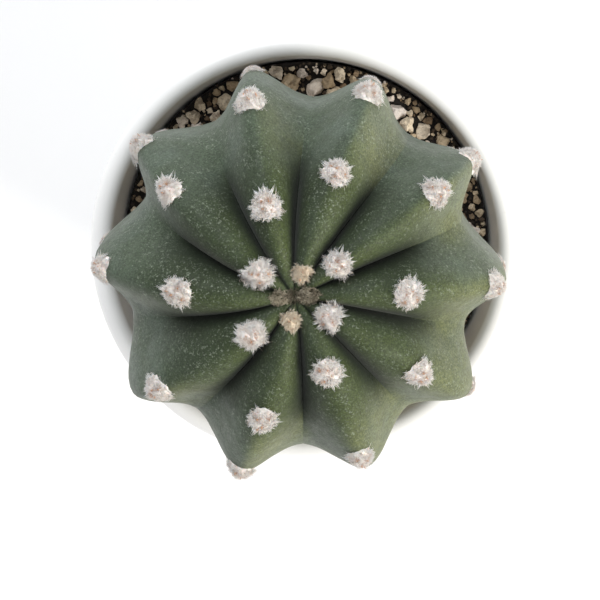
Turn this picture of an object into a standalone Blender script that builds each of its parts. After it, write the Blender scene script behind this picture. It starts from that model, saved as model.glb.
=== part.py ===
"""Potted round cactus: a ribbed, globe-shaped cactus in a plain round pot.

The origin is at the centre of the pot's foot, +Z is up, and all lengths are
in metres. The plant stands on the pot's axis, so the pot's rim is the widest
part of the whole.
"""

import math
import random

import bmesh
import bpy
from mathutils import Matrix, Vector
from mathutils.bvhtree import BVHTree

MM = 0.001
CLEARANCE = 0.3 * MM
MERGE_DISTANCE = 0.001 * MM
SHARP_ANGLE = math.radians(40)

# Pot: a plain tapered wall with a round lip, a recessed foot and a drain hole.
POT_HEIGHT = 68 * MM
POT_RIM_RADIUS = 40 * MM
POT_MOUTH_RADIUS = 36 * MM
POT_BASE_RADIUS = 31 * MM
POT_FLOOR_RADIUS = 27.2 * MM
POT_FLOOR_HEIGHT = 6 * MM
POT_FOOT_OUTER_RADIUS = 30 * MM
POT_FOOT_INNER_RADIUS = 25.5 * MM
POT_FOOT_RECESS = 2 * MM
POT_EDGE = 1.2 * MM
DRAIN_RADIUS = 5 * MM
LIP_STEPS = 6
TURNED_SIDES = 48

# Soil: it fills the pot to a watering space below the rim.
SOIL_LEVEL = 58 * MM

# Stem: ten ribs round a flattened globe, over a narrow woody neck.
STEM_RADIUS = 36 * MM
EQUATOR_HEIGHT = 92 * MM
CROWN_HEIGHT = 26 * MM
CROWN_FULLNESS = 2.25
SKIRT_HEIGHT = 33 * MM
SKIRT_FULLNESS = 2.4
NECK_TOP = 63 * MM
NECK_RADIUS = 19 * MM
NECK_TIP_RADIUS = 12 * MM
NECK_BOTTOM = 49 * MM
GROOVE_DEPTH = 5.8 * MM
GROOVE_DROP = 3.3 * MM
GROOVE_BELLY = 1.6 * MM
APEX_DIP = 3.5 * MM
APEX_DIP_WIDTH = 7 * MM
TWIST = math.radians(8)
TWIST_LENGTH = math.radians(36)
ROUND_RIB_POWER = 2.2
ROUND_RIB_END = math.radians(22)
POINTED_RIB_START = math.radians(68)
CREST_SOFTNESS = 0.2
COLUMNS_PER_RIB = 8
CROWN_RINGS = 15
SKIRT_RINGS = 8
NECK_RINGS = 3
SLOPE_STEP = math.radians(0.25)
SLOPE_NUDGE = math.radians(2)

# Each rib: the direction of its crest and of the groove after it, in degrees
# from +X, then the distances of its areoles from the apex along the crest, in
# millimetres.
RIBS = (
    (69, 86, (4.5, 22.5, 41.5, 62.0)),
    (103, 120, (16.5, 37.0, 54.0, 71.0)),
    (139, 153.5, (7.5, 29.0, 45.0, 65.0)),
    (174, 191, (20.0, 38.5, 60.0)),
    (214, 231.5, (9.5, 31.0, 60.0)),
    (252, 270.5, (4.0, 22.0, 40.5, 62.0)),
    (289, 309, (13.5, 34.0, 60.0)),
    (325, 344.5, (6.5, 25.5, 50.5, 67.0)),
    (359, 379, (19.0, 38.5, 60.0)),
    (394, 411, (9.5, 31.0, 49.0, 67.0)),
)

# Areole tufts: low woolly cushions, small near the apex and low on the stem.
TUFT_RADIUS = 2.4 * MM
YOUNG_TUFT_RADIUS = 1.6 * MM
OLD_TUFT_RADIUS = 2.0 * MM
YOUNG_TUFT_REACH = 6 * MM
OLD_TUFT_REACH = 50 * MM
TUFT_HEIGHT_RATIO = 0.75
TUFT_SIDES = 8
TUFT_LAYERS = ((0.5, 0.0), (1.0, 0.0), (1.0, 0.25), (0.6, 0.8))   # spread, lift
TUFT_DROOP = 1.5
TUFT_GAP = 1.3 * CLEARANCE
PROBE_HEIGHT = 12 * MM
PROBE_STEP = 0.6 * MM

# Apex wool: a flat patch of old wool in the dip between the youngest tufts.
WOOL_LENGTH = 8.0 * MM
WOOL_WIDTH = 3.2 * MM
WOOL_THICKNESS = 1.0 * MM

# Pebbles on the soil: direction in degrees, distance from the pot's axis and
# size in millimetres.
PEBBLES = (
    (56, 30.4, 4.8),
    (44, 30.6, 4.4),
    (37, 32.2, 3.6),
    (87, 29.4, 4.4),
    (73, 31.6, 3.4),
    (119, 30.6, 4.4),
    (151, 32.2, 3.8),
    (20, 32.0, 3.6),
    (190, 31.2, 4.0),
    (231, 30.8, 4.4),
    (268, 31.8, 3.6),
    (303, 31.0, 4.2),
    (338, 31.4, 3.8),
)
PEBBLE_FLATNESS = 0.72
PEBBLE_ROUGHNESS = 0.10
PEBBLE_NARROWING = (0.75, 0.95)
PEBBLE_YAW = (1.2, 1.9)
PEBBLE_SINK = 0.42
PEBBLE_SEED = 7
PIT_GAP = 1.2 * CLEARANCE


def clear_scene():
    for thing in list(bpy.data.objects):
        bpy.data.objects.remove(thing, do_unlink=True)


def make_material(name, colour, roughness, metallic=0.0):
    material = bpy.data.materials.new(name)
    material.use_nodes = True
    shader = material.node_tree.nodes["Principled BSDF"]
    shader.inputs["Base Color"].default_value = (*colour, 1.0)
    shader.inputs["Roughness"].default_value = roughness
    shader.inputs["Metallic"].default_value = metallic
    material.diffuse_color = (*colour, 1.0)
    return material


def add_piece(name, bm, material):
    """Turn a bmesh into a named object with its own material."""
    bmesh.ops.recalc_face_normals(bm, faces=bm.faces)
    mesh = bpy.data.meshes.new(name)
    bm.to_mesh(mesh)
    bm.free()
    mesh.materials.append(material)
    mesh.shade_smooth()
    mesh.set_sharp_from_angle(angle=SHARP_ANGLE)
    piece = bpy.data.objects.new(name, mesh)
    bpy.context.scene.collection.objects.link(piece)
    return piece


def turned(outline, closed):
    """Spin an outline of (radius, height) points about the Z axis.

    An outline that starts and ends on the axis is left open.
    """
    bm = bmesh.new()
    points = [bm.verts.new((radius, 0.0, height)) for radius, height in outline]
    pairs = list(zip(points, points[1:]))
    if closed:
        pairs.append((points[-1], points[0]))
    edges = [bm.edges.new(pair) for pair in pairs]
    bmesh.ops.spin(
        bm,
        geom=points + edges,
        cent=(0, 0, 0),
        axis=(0, 0, 1),
        angle=math.tau,
        steps=TURNED_SIDES,
        use_merge=True,
    )
    bmesh.ops.remove_doubles(bm, verts=bm.verts, dist=MERGE_DISTANCE)
    return bm


def lerp(start, end, share):
    return start + (end - start) * share


def smooth_step(start, end, value):
    share = min(max((value - start) / (end - start), 0.0), 1.0)
    return share * share * (3 - 2 * share)


# ---------------------------------------------------------------- pot and soil

def pot_inner_radius(height):
    share = (height - POT_FLOOR_HEIGHT) / (POT_HEIGHT - POT_FLOOR_HEIGHT)
    return lerp(POT_FLOOR_RADIUS, POT_MOUTH_RADIUS, share)


def build_pot(material):
    lip_radius = (POT_RIM_RADIUS - POT_MOUTH_RADIUS) / 2
    lip_centre = (POT_RIM_RADIUS + POT_MOUTH_RADIUS) / 2
    lip = []
    for step in range(LIP_STEPS + 1):
        turn = math.pi * step / LIP_STEPS
        radius = lip_centre + lip_radius * math.cos(turn)
        height = POT_HEIGHT - lip_radius + lip_radius * math.sin(turn)
        lip.append((radius, height))
    floor_corner = POT_FLOOR_HEIGHT + 2 * POT_EDGE
    outline = [
        (DRAIN_RADIUS, POT_FLOOR_HEIGHT),
        (DRAIN_RADIUS, POT_FOOT_RECESS),
        (POT_FOOT_INNER_RADIUS - POT_FOOT_RECESS / 2, POT_FOOT_RECESS),
        (POT_FOOT_INNER_RADIUS, 0.0),
        (POT_FOOT_OUTER_RADIUS, 0.0),
        (POT_BASE_RADIUS, POT_EDGE),
        *lip,
        (pot_inner_radius(floor_corner), floor_corner),
        (POT_FLOOR_RADIUS - 2 * POT_EDGE, POT_FLOOR_HEIGHT),
    ]
    return add_piece("pot", turned(outline, closed=True), material)


def build_soil(material):
    """Fill the pot round the stem's neck, with a socket that fits the neck."""
    bottom = POT_FLOOR_HEIGHT + CLEARANCE
    corner = bottom + 2 * POT_EDGE
    outline = [
        (0.0, bottom),
        (POT_FLOOR_RADIUS - 2 * POT_EDGE - CLEARANCE, bottom),
        (pot_inner_radius(corner) - CLEARANCE, corner),
        (pot_inner_radius(SOIL_LEVEL) - CLEARANCE, SOIL_LEVEL),
        (neck_radius(SOIL_LEVEL) + CLEARANCE, SOIL_LEVEL),
        (NECK_TIP_RADIUS + CLEARANCE, NECK_BOTTOM - CLEARANCE),
        (0.0, NECK_BOTTOM - CLEARANCE),
    ]
    return add_piece("soil", turned(outline, closed=False), material)


# ------------------------------------------------------------------------ stem

def crest_outline(slope):
    """Radius and height of a rib's crest, from the apex (0) to the skirt."""
    sine = abs(math.sin(slope))
    cosine = abs(math.cos(slope))
    if slope <= math.pi / 2:
        power = 2 / CROWN_FULLNESS
        radius = STEM_RADIUS * sine ** power
        rise = CROWN_HEIGHT * cosine ** power
        rise -= APEX_DIP * math.exp(-((radius / APEX_DIP_WIDTH) ** 2))
    else:
        power = 2 / SKIRT_FULLNESS
        radius = STEM_RADIUS * sine ** power
        rise = -SKIRT_HEIGHT * cosine ** power
    return radius, EQUATOR_HEIGHT + rise


def groove_outline(slope):
    """Radius and height of the bottom of a groove at the same slope."""
    crest_radius, crest_height = crest_outline(slope)
    if slope <= math.pi / 2:
        power = 2 / CROWN_FULLNESS
        radius = (STEM_RADIUS - GROOVE_DEPTH) * math.sin(slope) ** power
        crown = CROWN_HEIGHT - GROOVE_DROP
        rise = crown * math.cos(slope) ** power
        dip = APEX_DIP - GROOVE_DROP
        rise -= dip * math.exp(-((radius / APEX_DIP_WIDTH) ** 2))
        belly = GROOVE_BELLY * math.sin(2 * slope) ** 2
        radius -= belly * math.sin(slope)
        rise -= belly * math.cos(slope)
        return radius, EQUATOR_HEIGHT + rise
    fade = 1 - smooth_step(math.pi / 2, skirt_end(), slope)
    return crest_radius - GROOVE_DEPTH * fade, crest_height


def skirt_end():
    """Slope at which the skirt meets the top of the neck."""
    share = (EQUATOR_HEIGHT - NECK_TOP) / SKIRT_HEIGHT
    return math.pi - math.acos(share ** (SKIRT_FULLNESS / 2))


def neck_radius(height):
    """Radius of the round neck; it meets the skirt at its top."""
    top_radius = crest_outline(skirt_end())[0]
    if height >= SOIL_LEVEL:
        share = (NECK_TOP - height) / (NECK_TOP - SOIL_LEVEL)
        return lerp(top_radius, NECK_RADIUS, share)
    share = (SOIL_LEVEL - height) / (SOIL_LEVEL - NECK_BOTTOM)
    return lerp(NECK_RADIUS, NECK_TIP_RADIUS, share)


def rib_share(across, slope):
    """How far a point rises from groove (0) to crest (1).

    The ribs are round with sharp grooves near the apex, and blunt points with
    wide hollows at the equator.
    """
    across = abs(across)
    round_rib = 1 - across ** ROUND_RIB_POWER
    reach = math.sqrt(across ** 2 + CREST_SOFTNESS ** 2) - CREST_SOFTNESS
    full_reach = math.sqrt(1 + CREST_SOFTNESS ** 2) - CREST_SOFTNESS
    pointed_rib = 1 - math.sin(math.pi / 2 * reach / full_reach)
    blend = smooth_step(ROUND_RIB_END, POINTED_RIB_START, slope)
    return lerp(round_rib, pointed_rib, blend)


def rib_direction(index, across, slope):
    """Direction of a point between the grooves on both sides of a rib."""
    count = len(RIBS)
    crest, groove = RIBS[index % count][:2]
    if across < 0:
        groove = RIBS[(index - 1) % count][1]
        groove = crest - (crest - groove) % 360
    twist = TWIST * math.exp(-slope / TWIST_LENGTH)
    return math.radians(lerp(crest, groove, abs(across))) + twist


def stem_point(index, across, slope):
    crest = crest_outline(slope)
    groove = groove_outline(slope)
    share = rib_share(across, slope)
    radius = lerp(groove[0], crest[0], share)
    height = lerp(groove[1], crest[1], share)
    turn = rib_direction(index, across, slope)
    return Vector((radius * math.cos(turn), radius * math.sin(turn), height))


def stem_ring(slope):
    ring = []
    for index in range(len(RIBS)):
        for column in range(COLUMNS_PER_RIB):
            across = 2 * column / COLUMNS_PER_RIB - 1
            ring.append(stem_point(index, across, slope))
    return ring


def neck_ring(height):
    radius = neck_radius(height)
    ring = []
    for point in stem_ring(skirt_end()):
        turn = math.atan2(point.y, point.x)
        ring.append(Vector((radius * math.cos(turn), radius * math.sin(turn), height)))
    return ring


def stem_rings():
    crown_step = math.pi / 2 / CROWN_RINGS
    rings = [stem_ring(crown_step * (step + 1)) for step in range(CROWN_RINGS)]
    skirt_step = (skirt_end() - math.pi / 2) / SKIRT_RINGS
    for step in range(SKIRT_RINGS):
        rings.append(stem_ring(math.pi / 2 + skirt_step * (step + 1)))
    rings.append(neck_ring(SOIL_LEVEL))
    for step in range(1, NECK_RINGS + 1):
        height = lerp(SOIL_LEVEL, NECK_BOTTOM, step / NECK_RINGS)
        rings.append(neck_ring(height))
    return rings


def build_stem(material):
    """Join the rings from the apex down to the buried end of the neck."""
    bm = bmesh.new()
    apex = bm.verts.new((0.0, 0.0, crest_outline(0.0)[1]))
    base = bm.verts.new((0.0, 0.0, NECK_BOTTOM))
    rings = [[bm.verts.new(point) for point in ring] for ring in stem_rings()]
    count = len(rings[0])
    for index in range(count):
        following = (index + 1) % count
        bm.faces.new((apex, rings[0][index], rings[0][following]))
        bm.faces.new((base, rings[-1][following], rings[-1][index]))
        for upper, lower in zip(rings, rings[1:]):
            corners = (upper[index], lower[index], lower[following], upper[following])
            bm.faces.new(corners)
    return add_piece("cactus_stem", bm, material)


# ------------------------------------------------------------- tufts and wool

def slope_at(distance):
    """Slope of the crest point that lies this far from the apex."""
    slope = 0.0
    travelled = 0.0
    last = Vector(crest_outline(0.0))
    while travelled < distance:
        slope += SLOPE_STEP
        point = Vector(crest_outline(slope))
        travelled += (point - last).length
        last = point
    return slope


def crest_frame(index, distance):
    """Place on a crest, with the axes outward, down the rib and across it."""
    slope = slope_at(distance)
    place = stem_point(index, 0.0, slope)
    above = stem_point(index, 0.0, slope - SLOPE_NUDGE)
    below = stem_point(index, 0.0, slope + SLOPE_NUDGE)
    down = (below - above).normalized()
    radial = Vector((place.x, place.y, 0.0)).normalized()
    across = Vector((0.0, 0.0, 1.0)).cross(radial)
    outward = across.cross(down)
    if outward.z < 0 and slope < math.pi / 2:
        outward.negate()
    if outward.dot(radial) < 0 and slope >= math.pi / 2:
        outward.negate()
    return place, outward.normalized(), down, across


def cushion(frame, length, width, thickness, surface):
    """A low dome that follows the surface below it, a clearance away."""
    place, outward, down, across = frame

    def lift_at(offset):
        """Height of the surface over the place, or just below it past an edge."""
        start = place + offset + outward * PROBE_HEIGHT
        hit = surface.ray_cast(start, -outward)[0]
        return max((hit - place).dot(outward), -TUFT_DROOP * thickness)

    def base_point(spread, turn):
        offset = down * (length * spread * math.cos(turn))
        offset += across * (width * spread * math.sin(turn))
        lifts = [lift_at(offset)]
        for step in (down, -down, across, -across):
            lifts.append(lift_at(offset + step * PROBE_STEP))
        return place + offset + outward * (max(lifts) + TUFT_GAP)

    bm = bmesh.new()
    bottom = bm.verts.new(base_point(0.0, 0.0))
    top = bm.verts.new(bottom.co + outward * thickness)
    layers = []
    for spread, lift in TUFT_LAYERS:
        ring = []
        for side in range(TUFT_SIDES):
            turn = math.tau * side / TUFT_SIDES
            corner = base_point(spread, turn) + outward * (lift * thickness)
            ring.append(bm.verts.new(corner))
        layers.append(ring)
    for side in range(TUFT_SIDES):
        following = (side + 1) % TUFT_SIDES
        bm.faces.new((bottom, layers[0][side], layers[0][following]))
        bm.faces.new((top, layers[-1][following], layers[-1][side]))
        for inner, outer in zip(layers, layers[1:]):
            bm.faces.new((inner[side], outer[side], outer[following], inner[following]))
    return bm


def tuft_radius(distance):
    if distance < YOUNG_TUFT_REACH:
        return YOUNG_TUFT_RADIUS
    if distance > OLD_TUFT_REACH:
        return OLD_TUFT_RADIUS
    return TUFT_RADIUS


def build_tufts(surface, material):
    for index, (_, _, distances) in enumerate(RIBS):
        for order, distance in enumerate(distances):
            radius = tuft_radius(distance * MM)
            thickness = radius * TUFT_HEIGHT_RATIO
            frame = crest_frame(index, distance * MM)
            name = f"areole_rib{index + 1:02d}_{order + 1}"
            shape = cushion(frame, radius, radius, thickness, surface)
            add_piece(name, shape, material)


def build_apex_wool(surface, material):
    place = Vector((0.0, 0.0, crest_outline(0.0)[1]))
    frame = (place, Vector((0, 0, 1)), Vector((1, 0, 0)), Vector((0, 1, 0)))
    shape = cushion(frame, WOOL_LENGTH / 2, WOOL_WIDTH / 2, WOOL_THICKNESS, surface)
    add_piece("apex_wool", shape, material)


# --------------------------------------------------------------------- pebbles

def pebble_mesh(size, dice, name):
    """A rounded stone: a ball pushed in and out a little at every corner."""
    bm = bmesh.new()
    bmesh.ops.create_icosphere(bm, subdivisions=1, radius=size / 2)
    for corner in bm.verts:
        corner.co *= 1 + dice.uniform(-PEBBLE_ROUGHNESS, PEBBLE_ROUGHNESS)
    narrow = dice.uniform(*PEBBLE_NARROWING)
    shape = Matrix.Diagonal((1.0, narrow, PEBBLE_FLATNESS, 1.0))
    bmesh.ops.transform(bm, matrix=shape, verts=bm.verts)
    bmesh.ops.recalc_face_normals(bm, faces=bm.faces)
    mesh = bpy.data.meshes.new(name)
    bm.to_mesh(mesh)
    bm.free()
    return mesh


def build_pebbles(soil, material):
    """Set each pebble into the soil, in a pit that is a clearance larger."""
    dice = random.Random(PEBBLE_SEED)
    for order, (direction, distance, size) in enumerate(PEBBLES):
        name = f"pebble_{order + 1:02d}"
        mesh = pebble_mesh(size * MM, dice, name)
        mesh.materials.append(material)
        turn = math.radians(direction)
        half_height = size * MM / 2 * PEBBLE_FLATNESS
        place = Vector((math.cos(turn), math.sin(turn), 0.0)) * distance * MM
        place.z = SOIL_LEVEL + half_height * (1 - 2 * PEBBLE_SINK)
        yaw = turn + dice.uniform(*PEBBLE_YAW)
        pebble = bpy.data.objects.new(name, mesh)
        pebble.location = place
        pebble.rotation_euler = (0.0, 0.0, yaw)
        bpy.context.scene.collection.objects.link(pebble)

        pit_mesh = mesh.copy()
        growth = 1 + PIT_GAP / half_height
        pit_mesh.transform(Matrix.Scale(growth, 4))
        pit = bpy.data.objects.new(f"pit_{order + 1:02d}", pit_mesh)
        pit.location = place
        pit.rotation_euler = (0.0, 0.0, yaw)
        pit.display_type = "WIRE"
        pit.hide_render = True
        bpy.context.scene.collection.objects.link(pit)
        cut = soil.modifiers.new(pit.name, "BOOLEAN")
        cut.operation = "DIFFERENCE"
        cut.solver = "EXACT"
        cut.object = pit


def main():
    clear_scene()
    glaze = make_material("white_glaze", (0.86, 0.86, 0.84), 0.35)
    earth = make_material("potting_soil", (0.045, 0.032, 0.024), 0.95)
    skin = make_material("green_skin", (0.10, 0.16, 0.09), 0.55)
    felt = make_material("cream_wool", (0.72, 0.62, 0.55), 0.95)
    old_felt = make_material("grey_wool", (0.30, 0.26, 0.22), 0.95)
    grit = make_material("pale_grit", (0.55, 0.44, 0.33), 0.85)

    build_pot(glaze)
    soil = build_soil(earth)
    stem = build_stem(skin)
    surface = BVHTree.FromPolygons(
        [corner.co for corner in stem.data.vertices],
        [face.vertices for face in stem.data.polygons],
    )
    build_tufts(surface, felt)
    build_apex_wool(surface, old_felt)
    build_pebbles(soil, grit)


main()
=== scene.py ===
"""Looks of the potted round cactus: skin, wool, gritty soil, glazed pot, light and camera."""
import math
import random

import bpy
import numpy as np
from mathutils import Matrix, Vector, noise
from mathutils.bvhtree import BVHTree


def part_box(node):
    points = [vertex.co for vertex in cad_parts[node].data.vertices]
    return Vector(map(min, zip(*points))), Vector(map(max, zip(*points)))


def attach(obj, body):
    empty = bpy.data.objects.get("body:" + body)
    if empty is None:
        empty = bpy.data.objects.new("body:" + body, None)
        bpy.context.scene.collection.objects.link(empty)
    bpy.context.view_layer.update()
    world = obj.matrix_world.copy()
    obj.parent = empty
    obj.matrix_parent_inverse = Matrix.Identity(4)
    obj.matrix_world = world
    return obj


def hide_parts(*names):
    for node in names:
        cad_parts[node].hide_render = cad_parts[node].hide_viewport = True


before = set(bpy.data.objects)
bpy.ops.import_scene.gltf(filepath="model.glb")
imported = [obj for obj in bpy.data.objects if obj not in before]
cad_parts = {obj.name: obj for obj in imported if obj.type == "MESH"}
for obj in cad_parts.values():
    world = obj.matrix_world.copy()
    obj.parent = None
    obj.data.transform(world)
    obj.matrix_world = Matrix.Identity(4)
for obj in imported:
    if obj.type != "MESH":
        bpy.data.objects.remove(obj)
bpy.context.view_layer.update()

MM = 0.001

# ------------------------------------------------------------------ the plan
# The stem's driving sizes are those of the CAD stem.
STEM_RADIUS = 36 * MM
EQUATOR_HEIGHT = 92 * MM
CROWN_HEIGHT = 26 * MM
CROWN_FULLNESS = 2.25
SKIRT_HEIGHT = 33 * MM
SKIRT_FULLNESS = 2.4
NECK_TOP = 63 * MM
NECK_RADIUS = 19 * MM
NECK_TIP_RADIUS = 12 * MM
NECK_BOTTOM = 49 * MM
GROOVE_DEPTH = 5.8 * MM
GROOVE_DROP = 3.3 * MM
GROOVE_BELLY = 1.6 * MM
APEX_DIP = 3.5 * MM
APEX_DIP_WIDTH = 7 * MM
TWIST = math.radians(8)
TWIST_LENGTH = math.radians(36)
ROUND_RIB_POWER = 2.2
ROUND_RIB_END = math.radians(22)
POINTED_RIB_START = math.radians(68)
CREST_SOFTNESS = 0.2

# Each rib: the direction of its crest and of the groove after it, in degrees,
# then its areoles' distances from the apex along the crest, in millimetres.
RIBS = (
    (69, 86, (4.5, 22.5, 41.5, 62.0)),
    (103, 120, (16.5, 37.0, 54.0, 71.0)),
    (139, 153.5, (7.5, 29.0, 45.0, 65.0)),
    (174, 191, (20.0, 38.5, 60.0)),
    (214, 231.5, (9.5, 31.0, 60.0)),
    (252, 270.5, (4.0, 22.0, 40.5, 62.0)),
    (289, 309, (13.5, 34.0, 60.0)),
    (325, 344.5, (6.5, 25.5, 50.5, 67.0)),
    (359, 379, (19.0, 38.5, 60.0)),
    (394, 411, (9.5, 31.0, 49.0, 67.0)),
)

# Sizes taken from the CAD pot and soil.
POT_HIGH = Vector(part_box("pot")[1])
POT_HEIGHT = POT_HIGH.z
POT_RIM_RADIUS = POT_HIGH.x
SOIL_RADIUS, _, SOIL_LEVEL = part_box("soil")[1]


# ------------------------------------------------------------------- helpers

def edit_all():
    """Enter edit mode on the current piece, with all of it selected."""
    bpy.ops.object.mode_set(mode="EDIT")
    bpy.ops.mesh.select_all(action="SELECT")


def leave_edit():
    bpy.ops.object.mode_set(mode="OBJECT")


def let_go():
    """Leave edit mode and select nothing."""
    if bpy.context.object and bpy.context.object.mode != "OBJECT":
        leave_edit()
    bpy.ops.object.select_all(action="DESELECT")


def take(piece):
    let_go()
    piece.select_set(True)
    bpy.context.view_layer.objects.active = piece


def settle(piece):
    """Put the piece's place, turn and scale into its mesh."""
    take(piece)
    bpy.ops.object.transform_apply(location=True, rotation=True, scale=True)


def call_it(name):
    piece = bpy.context.object
    piece.name = name
    piece.data.name = name
    return piece


def lerp(start, end, share):
    return start + (end - start) * share


def smooth_step(start, end, value):
    share = min(max((value - start) / (end - start), 0.0), 1.0)
    return share * share * (3 - 2 * share)


def smooth_faces(piece):
    take(piece)
    bpy.ops.object.shade_smooth()


def add_numbers(mesh, name, values):
    """Store one number at each corner of the mesh, for its material."""
    layer = mesh.attributes.new(name, "FLOAT", "POINT")
    layer.data.foreach_set("value", np.asarray(values, dtype=np.float32))


def keep_shape(piece):
    """Points and faces of a pattern; the pattern itself is removed."""
    mesh = piece.data
    points = np.array([corner.co[:] for corner in mesh.vertices])
    faces = [tuple(face.vertices) for face in mesh.polygons]
    bpy.data.objects.remove(piece, do_unlink=True)
    bpy.data.meshes.remove(mesh)
    return points, faces


def piece_from(name, points, faces):
    """A new piece made of the given points and faces."""
    mesh = bpy.data.meshes.new(name)
    mesh.from_pydata(points.tolist(), [], faces)
    piece = bpy.data.objects.new(name, mesh)
    bpy.context.scene.collection.objects.link(piece)
    return piece


def some_way(dice, reach):
    """A random shift of the noise, so that no two pieces are alike."""
    return Vector((dice.uniform(0, reach), dice.uniform(0, reach), dice.uniform(0, reach)))


def grey(level):
    return (level, level, level)


def around(radius, turn, height):
    """The point at this distance and direction from the plant's axis."""
    return Vector((radius * math.cos(turn), radius * math.sin(turn), height))


def level_aim(turn):
    return around(1.0, turn, 0.0)


# ----------------------------------------------------------------- materials

class Finish:
    """A material under construction: short calls for its nodes and links."""

    def __init__(self, name):
        self.material = bpy.data.materials.new(name)
        self.material.use_nodes = True
        self.nodes = self.material.node_tree.nodes
        self.links = self.material.node_tree.links
        self.shader = self.nodes["Principled BSDF"]
        self.place = self.node("ShaderNodeTexCoord").outputs["Object"]

    def node(self, kind, inputs=(), **settings):
        made = self.nodes.new(kind)
        for key, value in settings.items():
            setattr(made, key, value)
        for socket, value in dict(inputs).items():
            self.plug(value, made.inputs[socket])
        return made

    def plug(self, value, socket):
        """Give an input a number, a colour or another node's output."""
        if isinstance(value, (int, float)):
            socket.default_value = value
        elif isinstance(value, tuple):
            socket.default_value = (*value, 1.0)[:len(socket.default_value)]
        else:
            self.links.new(value, socket)

    def set(self, socket, value):
        self.plug(value, self.shader.inputs[socket])

    def noise(self, scale, detail=3.0, roughness=0.55):
        inputs = {"Vector": self.place, "Scale": scale, "Detail": detail, "Roughness": roughness}
        return self.node("ShaderNodeTexNoise", inputs).outputs["Fac"]

    def cells(self, scale, output="Distance"):
        inputs = {"Vector": self.place, "Scale": scale}
        return self.node("ShaderNodeTexVoronoi", inputs).outputs[output]

    def number(self, name):
        return self.node("ShaderNodeAttribute", attribute_name=name).outputs["Fac"]

    def height(self):
        split = self.node("ShaderNodeSeparateXYZ", {"Vector": self.place})
        return split.outputs["Z"]

    def reach(self, source, low, high, start=0.0, end=1.0):
        """Map a value between two limits to a new range, smoothly, and clamp it."""
        limits = {"From Min": low, "From Max": high, "To Min": start, "To Max": end}
        inputs = {"Value": source, **limits}
        made = self.node("ShaderNodeMapRange", inputs, interpolation_type="SMOOTHSTEP")
        return made.outputs["Result"]

    def combine(self, operation, first, second):
        inputs = {0: first, 1: second}
        return self.node("ShaderNodeMath", inputs, operation=operation).outputs["Value"]

    def times(self, first, second):
        return self.combine("MULTIPLY", first, second)

    def ramp(self, source, *stops):
        """A colour for each value, between stops of (value, colour)."""
        made = self.node("ShaderNodeValToRGB", {"Fac": source})
        band = made.color_ramp
        while len(band.elements) < len(stops):
            band.elements.new(0.5)
        for element, (position, colour) in zip(band.elements, stops):
            element.position = position
            element.color = (*colour, 1.0)
        return made.outputs["Color"]

    def mix(self, share, first, second, blend="MIX"):
        """Mix two colours, each a tuple or another node's output."""
        inputs = {0: share, 6: first, 7: second}
        made = self.node("ShaderNodeMix", inputs, data_type="RGBA", blend_type=blend)
        return made.outputs[2]

    def tint(self, base, tone):
        return self.mix(1.0, base, tone, "MULTIPLY")

    def vary(self, base, scale, low, high, detail=3.0, roughness=0.55):
        """Tint a colour in patches, between two stops of (value, colour)."""
        patches = self.noise(scale, detail, roughness)
        return self.tint(base, self.ramp(patches, low, high))

    def matt(self, scale, low, high, detail=3.0):
        """Let the surface's roughness drift between two limits."""
        self.set("Roughness", self.reach(self.noise(scale, detail), 0.3, 0.7, low, high))

    def relief(self, scale, depth, strength, detail=3.0, roughness=0.55):
        """Add fine relief; a second call lies on top of the first."""
        inputs = {
            "Height": self.noise(scale, detail, roughness),
            "Distance": depth,
            "Strength": strength,
        }
        for link in self.shader.inputs["Normal"].links:
            inputs["Normal"] = link.from_socket
        self.set("Normal", self.node("ShaderNodeBump", inputs).outputs["Normal"])


# Skin colours near the apex and farther out, each as painted shade for flanks turned away from
# the key light and as painted light for flanks turned to it.
INNER_PAINTED_SHADE = (0.023, 0.035, 0.013)
INNER_PAINTED_LIGHT = (0.051, 0.070, 0.021)
OUTER_PAINTED_SHADE = (0.058, 0.081, 0.049)
OUTER_PAINTED_LIGHT = (0.130, 0.147, 0.062)
BLOOM = (0.106, 0.137, 0.114)
PIT = (0.028, 0.042, 0.020)
SPECK = (0.27, 0.31, 0.24)
PALE_DOT = (0.46, 0.52, 0.42)
# Colour of the painted shade in the grooves.
GROOVE_PAINTED_SHADE = (0.008, 0.014, 0.006)
BARK_DARK = (0.10, 0.075, 0.045)
BARK_PALE = (0.30, 0.24, 0.15)
PIT_STRENGTH = 0.50
SPECK_STRENGTH = 0.48
# How strongly the painted shade darkens the grooves.
GROOVE_SHADE_STRENGTH = 0.93
# Pale dots of two sizes: their scale, width, share of cells left out and strength.
PALE_DOTS = ((2600, 0.32, 0.42, 0.16), (900, 0.12, 0.80, 0.30))
# Bark covers the foot of the stem up to these heights, with an uneven edge.
BARK_FULL = 72 * MM
BARK_END = 80 * MM
BARK_UNEVENNESS = 12 * MM


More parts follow.
